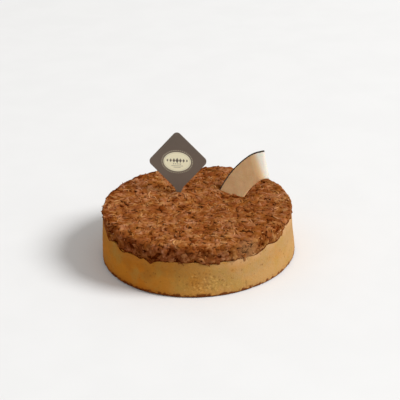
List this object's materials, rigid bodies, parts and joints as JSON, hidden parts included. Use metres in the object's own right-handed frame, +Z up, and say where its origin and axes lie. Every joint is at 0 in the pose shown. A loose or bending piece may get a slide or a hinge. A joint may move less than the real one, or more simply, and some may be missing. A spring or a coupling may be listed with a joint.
{
  "type": "coconut tart",
  "caption": "Whole round tart with a smooth golden shortcrust wall, a browned matted coconut top, a diamond tag on a pointed stake and a curled crescent slice of coconut.",
  "frame": {"origin": "centre of the crust's flat base, on the surface it stands on", "axes": "+Z is up through the tart, -Y is the front that the tag faces, +X is the side that the coconut slice stands on"},
  "size_m": [0.16, 0.16, 0.0946],
  "materials": {
    "shortcrust": "baked golden shortcrust, fine-grained and matte, paler at the rim and browner at the foot",
    "browned_coconut": "matted coconut flakes baked brown, with a slight syrup gloss",
    "tag_card": "coated stiff card, dark taupe with a plain cream oval",
    "coconut_flesh": "thin toasted coconut flesh, waxy, with a thin dark brown skin along its outer edge"
  },
  "bodies": {
    "root": {"crust": "shortcrust", "coconut_layer": "browned_coconut", "tag": "tag_card", "coconut_slice": "coconut_flesh"}
  },
  "joints": []
}
